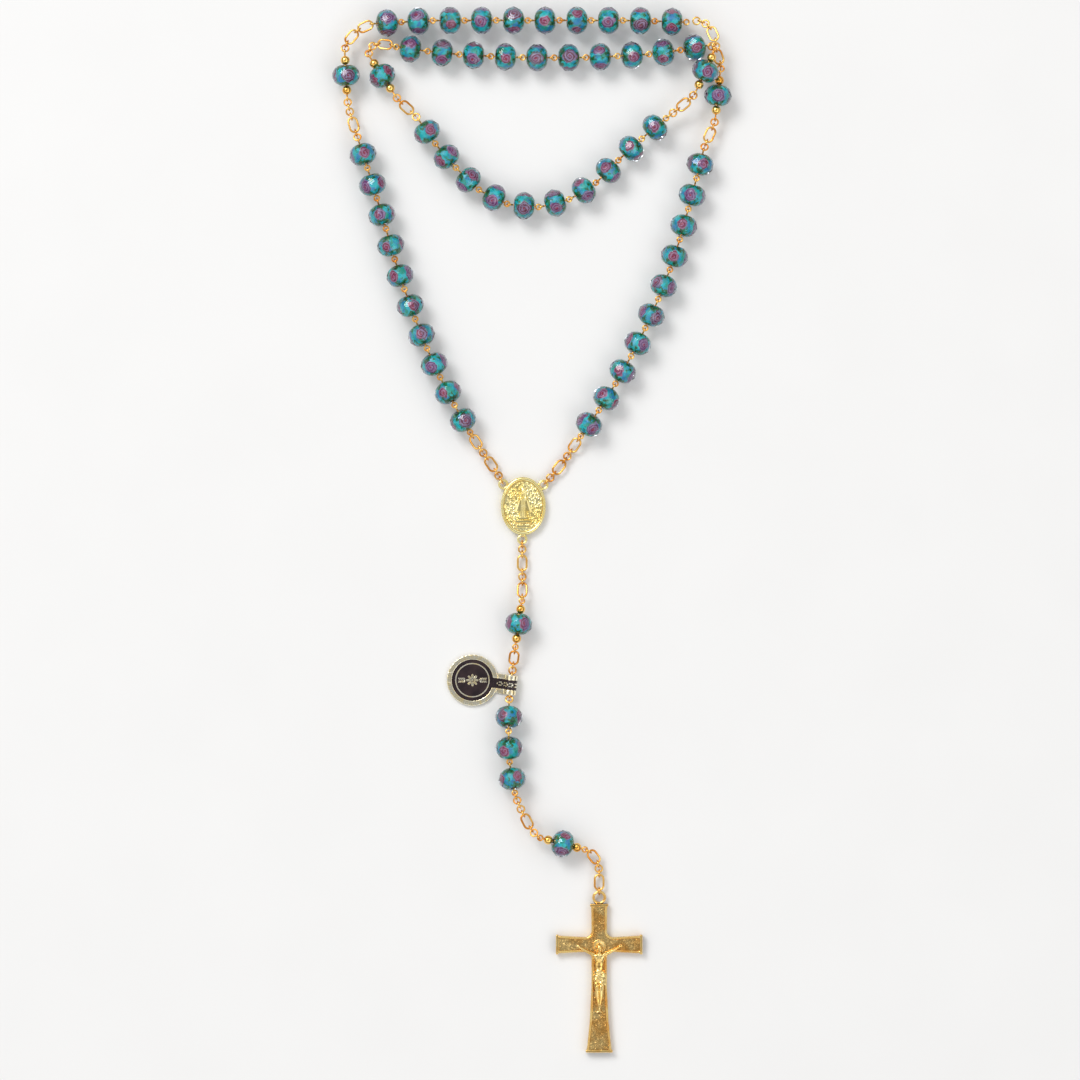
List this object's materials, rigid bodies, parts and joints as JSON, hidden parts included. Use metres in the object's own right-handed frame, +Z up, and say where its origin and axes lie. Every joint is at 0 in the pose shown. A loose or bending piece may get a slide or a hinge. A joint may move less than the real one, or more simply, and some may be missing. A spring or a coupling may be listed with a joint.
{
  "type": "rosary",
  "caption": "Rosary laid out flat: faceted glass beads on eye pins in a folded loop, linked by chain to an oval medal, with a foil tag and a crucifix on the pendant strand.",
  "frame": {"origin": "middle of the laid-out rosary's outline, on the table it lies on", "axes": "+Y from the crucifix up to the loop's top row, +X to the right as seen from above, +Z up off the table"},
  "size_m": [0.1138, 0.2983, 0.0107],
  "materials": {
    "bead_glass": "clear faceted glass over a turquoise core with wound rose spirals",
    "chain_gold": "polished gold-coloured plating on drawn wire",
    "ball_gold": "bright polished gold-coloured plating",
    "medal_gold": "pale gold plating, grained ground and bright raised rim",
    "crucifix_gold": "warm gold plating, grained panel and polished rim",
    "foil_gold": "pale gold foil with a soft sheen",
    "tag_enamel": "brown-black lacquer"
  },
  "bodies": {
    "medal": {"medal": "medal_gold"},
    "chain_a": {"chain_a": "chain_gold", "decade_1_low_beads": "bead_glass", "decade_1_low_pins": "chain_gold"},
    "decade_1_high": {"decade_1_high_beads": "bead_glass", "decade_1_high_pins": "chain_gold"},
    "chain_b": {"chain_b": "chain_gold"},
    "father_a": {"father_a_pin": "chain_gold", "father_a_balls": "ball_gold"},
    "father_a_bead": {"father_a_bead": "bead_glass"},
    "chain_c": {"chain_c": "chain_gold"},
    "decade_2": {"decade_2_beads": "bead_glass", "decade_2_pins": "chain_gold"},
    "chain_e": {"chain_e": "chain_gold", "decade_5_low_beads": "bead_glass", "decade_5_low_pins": "chain_gold"},
    "decade_5_high": {"decade_5_high_beads": "bead_glass", "decade_5_high_pins": "chain_gold", "chain_f": "chain_gold", "father_d_pin": "chain_gold", "father_d_balls": "ball_gold", "chain_g": "chain_gold"},
    "father_d_bead": {"father_d_bead": "bead_glass"},
    "decade_4": {"decade_4_beads": "bead_glass", "decade_4_pins": "chain_gold", "chain_h": "chain_gold"},
    "father_b": {"father_b_pin": "chain_gold", "father_b_balls": "ball_gold"},
    "father_b_bead": {"father_b_bead": "bead_glass"},
    "chain_i": {"chain_i": "chain_gold"},
    "decade_3": {"decade_3_beads": "bead_glass", "decade_3_pins": "chain_gold"},
    "chain_j": {"chain_j": "chain_gold"},
    "father_c": {"father_c_pin": "chain_gold", "father_c_balls": "ball_gold"},
    "father_c_bead": {"father_c_bead": "bead_glass"},
    "chain_d": {"chain_d": "chain_gold"},
    "chain_k": {"chain_k": "chain_gold"},
    "father_e": {"father_e_pin": "chain_gold", "father_e_balls": "ball_gold"},
    "father_e_bead": {"father_e_bead": "bead_glass"},
    "chain_l": {"chain_l": "chain_gold"},
    "tag": {"tag_strap": "foil_gold", "tag_face": "tag_enamel"},
    "hail_1": {"hail_1_pin": "chain_gold"},
    "hail_1_bead": {"hail_1_bead": "bead_glass"},
    "hail_2": {"hail_2_pin": "chain_gold"},
    "hail_2_bead": {"hail_2_bead": "bead_glass"},
    "hail_3": {"hail_3_pin": "chain_gold"},
    "hail_3_bead": {"hail_3_bead": "bead_glass"},
    "chain_m": {"chain_m": "chain_gold"},
    "father_f": {"father_f_pin": "chain_gold", "father_f_balls": "ball_gold"},
    "father_f_bead": {"father_f_bead": "bead_glass"},
    "chain_n": {"chain_n": "chain_gold"},
    "crucifix": {"cross": "crucifix_gold", "corpus": "crucifix_gold"}
  },
  "joints": [
    {"name": "left_lift", "type": "hinge", "parent": "medal", "child": "chain_a", "pos_m": [-0.00864, 0.01422, 0.0013], "axis": [0.8829, 0.4695, 0], "range_deg": [0, 20]},
    {"name": "decade_1_fold", "type": "hinge", "parent": "chain_a", "child": "decade_1_high", "pos_m": [-0.03603, 0.06807, 0.00438], "axis": [0.9511, 0.309, 0], "range_deg": [0, 14]},
    {"name": "chain_b_lift", "type": "hinge", "parent": "decade_1_high", "child": "chain_b", "pos_m": [-0.04939, 0.11123, 0.00403], "axis": [0.9511, 0.309, 0], "range_deg": [0, 14]},
    {"name": "father_a_lift", "type": "hinge", "parent": "chain_b", "child": "father_a", "pos_m": [-0.05259, 0.12303, 0.00372], "axis": [0.9986, 0.0523, 0], "range_deg": [0, 14]},
    {"name": "father_a_spin", "type": "hinge", "parent": "father_a", "child": "father_a_bead", "pos_m": [-0.05291, 0.12977, 0.00405], "axis": [-0.052, 0.9922, 0.113], "continuous": true},
    {"name": "chain_c_lift", "type": "hinge", "parent": "father_a", "child": "chain_c", "pos_m": [-0.05334, 0.13648, 0.00459], "axis": [0.9781, -0.2079, 0], "range_deg": [0, 14]},
    {"name": "decade_2_lift", "type": "hinge", "parent": "chain_c", "child": "decade_2", "pos_m": [-0.04542, 0.14447, 0.00459], "axis": [0.0698, -0.9976, 0], "range_deg": [0, 14]},
    {"name": "right_lift", "type": "hinge", "parent": "medal", "child": "chain_e", "pos_m": [0.00411, 0.01391, 0.0013], "axis": [0.7193, -0.6947, 0], "range_deg": [0, 10]},
    {"name": "decade_5_fold", "type": "hinge", "parent": "chain_e", "child": "decade_5_high", "pos_m": [0.03585, 0.0653, 0.00438], "axis": [0.9308, -0.3656, 0], "range_deg": [0, 6]},
    {"name": "father_d_spin", "type": "hinge", "parent": "decade_5_high", "child": "father_d_bead", "pos_m": [0.05304, 0.12404, 0.00406], "axis": [0.1045, 0.9938, 0.038], "continuous": true},
    {"name": "decade_4_lift", "type": "hinge", "parent": "decade_5_high", "child": "decade_4", "pos_m": [0.05049, 0.13853, 0.00361], "axis": [-0.1736, 0.9848, 0], "range_deg": [0, 6]},
    {"name": "father_b_lift", "type": "hinge", "parent": "decade_4", "child": "father_b", "pos_m": [-0.04637, 0.13514, 0.0034], "axis": [-0.8387, -0.5446, 0], "range_deg": [0, 8]},
    {"name": "father_b_spin", "type": "hinge", "parent": "father_b", "child": "father_b_bead", "pos_m": [-0.04259, 0.12959, 0.00402], "axis": [0.5347, -0.8233, 0.1906], "continuous": true},
    {"name": "chain_i_lift", "type": "hinge", "parent": "father_b", "child": "chain_i", "pos_m": [-0.03897, 0.12396, 0.00488], "axis": [-0.766, -0.6428, 0], "range_deg": [0, 8]},
    {"name": "decade_3_lift", "type": "hinge", "parent": "chain_i", "child": "decade_3", "pos_m": [-0.03221, 0.11712, 0.00431], "axis": [-0.8192, -0.5736, 0], "range_deg": [0, 8]},
    {"name": "chain_j_lift", "type": "hinge", "parent": "decade_3", "child": "chain_j", "pos_m": [0.03883, 0.11796, 0.00409], "axis": [0.6018, -0.7986, 0], "range_deg": [0, 15]},
    {"name": "father_c_lift", "type": "hinge", "parent": "chain_j", "child": "father_c", "pos_m": [0.04662, 0.12454, 0.00689], "axis": [0.9063, -0.4226, 0], "range_deg": [0, 20]},
    {"name": "father_c_spin", "type": "hinge", "parent": "father_c", "child": "father_c_bead", "pos_m": [0.0494, 0.13069, 0.00684], "axis": [0.4226, 0.9063, 0], "continuous": true},
    {"name": "chain_d_lift", "type": "hinge", "parent": "father_c", "child": "chain_d", "pos_m": [0.05235, 0.13676, 0.00686], "axis": [0.9976, -0.0698, 0], "range_deg": [0, 30]},
    {"name": "pendant_swing", "type": "hinge", "parent": "medal", "child": "chain_k", "pos_m": [-0.0027, -0.00292, 0.0013], "axis": [0, 0, 1], "range_deg": [-40, 40]},
    {"name": "father_e_swing", "type": "hinge", "parent": "chain_k", "child": "father_e", "pos_m": [-0.00275, -0.01993, 0.00361], "axis": [0, 0, -1], "range_deg": [-40, 40]},
    {"name": "father_e_spin", "type": "hinge", "parent": "father_e", "child": "father_e_bead", "pos_m": [-0.00371, -0.02658, 0.00403], "axis": [-0.1373, -0.9771, 0.1626], "continuous": true},
    {"name": "chain_l_swing", "type": "hinge", "parent": "father_e", "child": "chain_l", "pos_m": [-0.00464, -0.03321, 0.00482], "axis": [0, 0, 1], "range_deg": [-40, 40]},
    {"name": "tag_turn", "type": "hinge", "parent": "chain_l", "child": "tag", "pos_m": [-0.006, -0.04406, 0.0019], "axis": [0.1219, 0.9925, 0], "range_deg": [0, 120]},
    {"name": "hail_1_swing", "type": "hinge", "parent": "chain_l", "child": "hail_1", "pos_m": [-0.00641, -0.04846, 0.00291], "axis": [0, 0, -1], "range_deg": [-40, 40]},
    {"name": "hail_1_spin", "type": "hinge", "parent": "hail_1", "child": "hail_1_bead", "pos_m": [-0.0065, -0.05315, 0.004], "axis": [-0.016, -0.9161, 0.4007], "continuous": true},
    {"name": "hail_2_swing", "type": "hinge", "parent": "hail_1", "child": "hail_2", "pos_m": [-0.00658, -0.05722, 0.00509], "axis": [0, 0, 1], "range_deg": [-40, 40]},
    {"name": "hail_2_spin", "type": "hinge", "parent": "hail_2", "child": "hail_2_bead", "pos_m": [-0.00642, -0.06194, 0.00412], "axis": [0.0326, -0.9338, -0.3564], "continuous": true},
    {"name": "hail_3_swing", "type": "hinge", "parent": "hail_2", "child": "hail_3", "pos_m": [-0.00632, -0.06605, 0.00316], "axis": [0, 0, -1], "range_deg": [-40, 40]},
    {"name": "hail_3_spin", "type": "hinge", "parent": "hail_3", "child": "hail_3_bead", "pos_m": [-0.00549, -0.07073, 0.00399], "axis": [0.1654, -0.9379, 0.305], "continuous": true},
    {"name": "chain_m_swing", "type": "hinge", "parent": "hail_3", "child": "chain_m", "pos_m": [-0.00482, -0.07478, 0.00488], "axis": [0, 0, 1], "range_deg": [-40, 40]},
    {"name": "father_f_swing", "type": "hinge", "parent": "chain_m", "child": "father_f", "pos_m": [0.00234, -0.08764, 0.00505], "axis": [0, 0, -1], "range_deg": [-35, 35]},
    {"name": "father_f_spin", "type": "hinge", "parent": "father_f", "child": "father_f_bead", "pos_m": [0.00881, -0.08923, 0.00409], "axis": [0.944, -0.2529, -0.2118], "continuous": true},
    {"name": "chain_n_swing", "type": "hinge", "parent": "father_f", "child": "chain_n", "pos_m": [0.01531, -0.0909, 0.00337], "axis": [0, 0, 1], "range_deg": [-35, 35]},
    {"name": "crucifix_lift", "type": "hinge", "parent": "chain_n", "child": "crucifix", "pos_m": [0.01926, -0.10314, 0.0013], "axis": [-1, 0, 0], "range_deg": [0, 80]}
  ]
}
